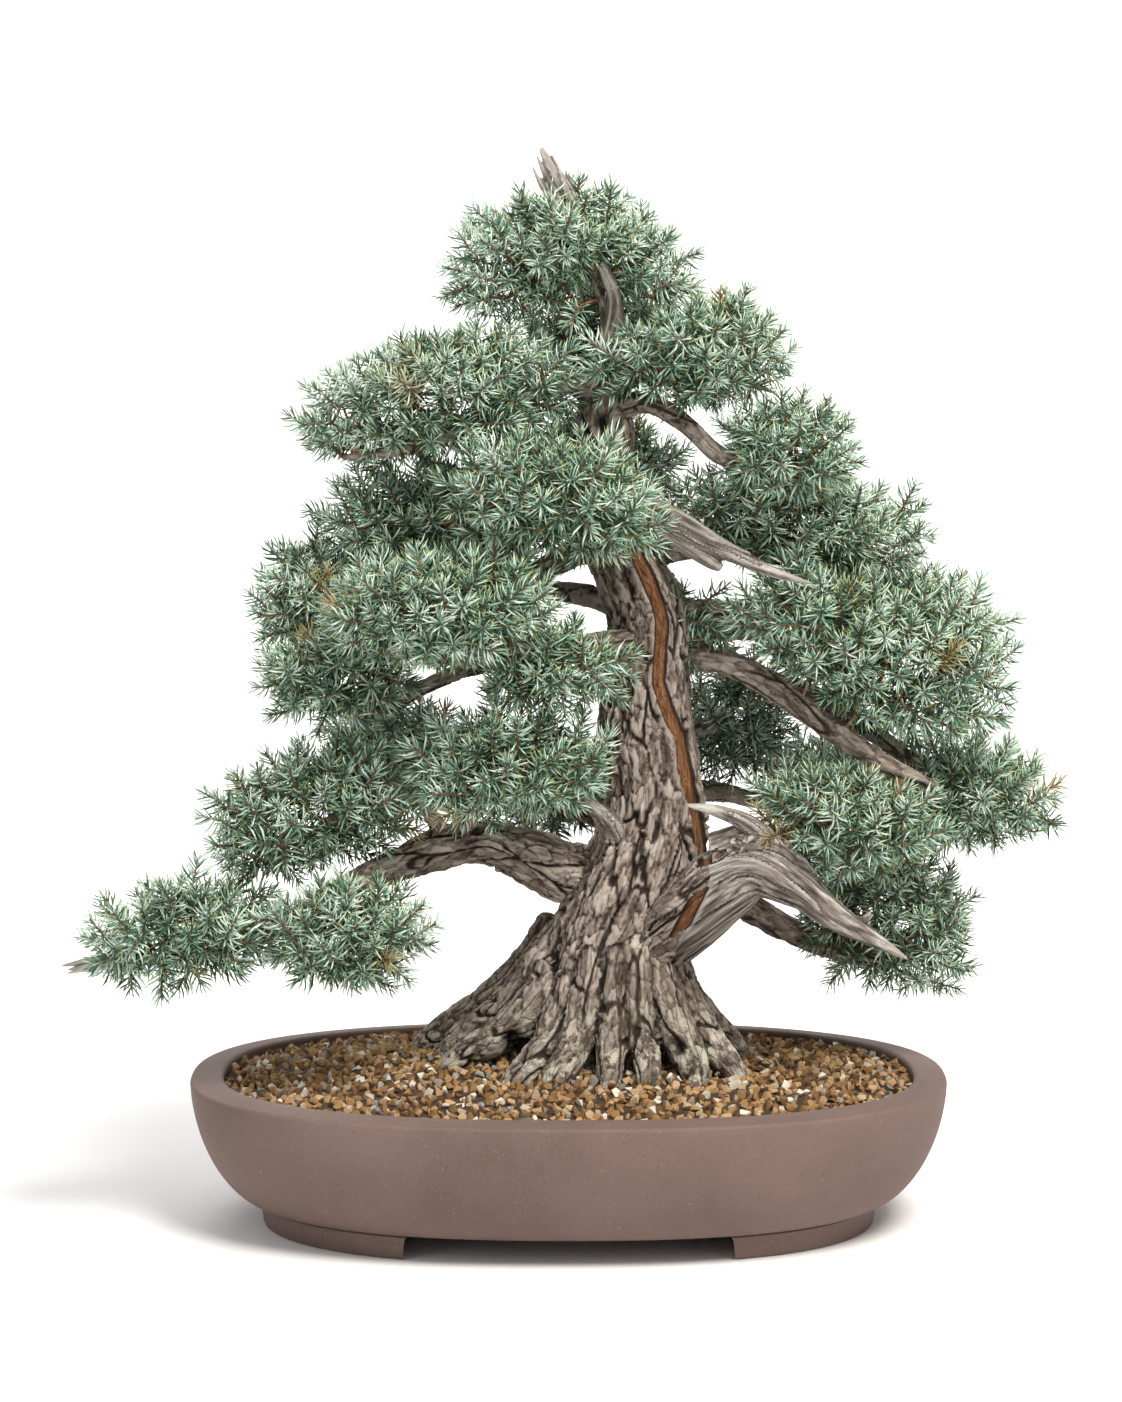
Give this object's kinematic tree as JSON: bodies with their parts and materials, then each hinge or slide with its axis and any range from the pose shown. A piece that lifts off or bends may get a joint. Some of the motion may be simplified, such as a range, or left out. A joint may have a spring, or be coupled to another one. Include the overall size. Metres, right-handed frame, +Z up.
{
  "type": "bonsai tree in a pot",
  "caption": "Old conifer bonsai with blue-green needle pads, twisted trunk, bleached deadwood and surface roots, in a shallow oval unglazed stoneware pot of grit.",
  "frame": {"origin": "on the ground, under the middle of the pot's footprint and of the whole tree's box", "axes": "+Z up; +Y from the front of the tree to its back; +X to the right seen from the front, towards the deadwood side"},
  "size_m": [0.6473, 0.37, 0.7045],
  "materials": {
    "stoneware": "unglazed, matt, fine sanded grain",
    "grit": "dry angular grains, matt",
    "bark": "rough fissured bark, matt",
    "deadwood": "bleached, fine open grain, matt",
    "needles": "living needles with a waxy bloom",
    "plastic_mesh": "moulded, matt",
    "wire": "anodised, satin"
  },
  "bodies": {
    "root": {"branch_back_high": "bark", "branch_back_left": "bark", "branch_back_low": "bark", "branch_back_low_left": "bark", "branch_back_low_right": "bark", "branch_back_right": "bark", "branch_back_right_mid": "bark", "branch_back_top": "bark", "branch_front_centre": "bark", "branch_left_drop": "bark", "branch_left_front": "bark", "branch_left_inner": "bark", "branch_left_low": "bark", "branch_left_mid": "bark", "branch_left_top": "bark", "branch_right_centre": "bark", "branch_right_high": "bark", "branch_right_low": "bark", "branch_right_mid": "bark", "branch_right_shoulder": "bark", "branch_right_top": "bark", "deadwood_left_stub": "deadwood", "deadwood_right_low": "deadwood", "deadwood_right_upper": "deadwood", "drain_mesh_left": "plastic_mesh", "drain_mesh_right": "plastic_mesh", "foliage_apex": "needles", "foliage_back_high": "needles", "foliage_back_left": "needles", "foliage_back_low_left": "needles", "foliage_back_low_right": "needles", "foliage_back_right": "needles", "foliage_back_top": "needles", "foliage_centre_back": "needles", "foliage_centre_low": "needles", "foliage_far_left": "needles", "foliage_far_right": "needles", "foliage_front_centre": "needles", "foliage_left_front": "needles", "foliage_left_high": "needles", "foliage_left_inner": "needles", "foliage_left_mid": "needles", "foliage_left_outer": "needles", "foliage_low_left": "needles", "foliage_low_left_front": "needles", "foliage_low_right": "needles", "foliage_right_high": "needles", "foliage_right_inner_back": "needles", "foliage_right_low_front": "needles", "foliage_right_main": "needles", "foliage_right_shoulder": "needles", "foliage_upper_left": "needles", "foliage_upper_right": "needles", "grit": "grit", "mesh_clip_left": "wire", "mesh_clip_right": "wire", "pot": "stoneware", "trunk": "bark"}
  },
  "joints": []
}
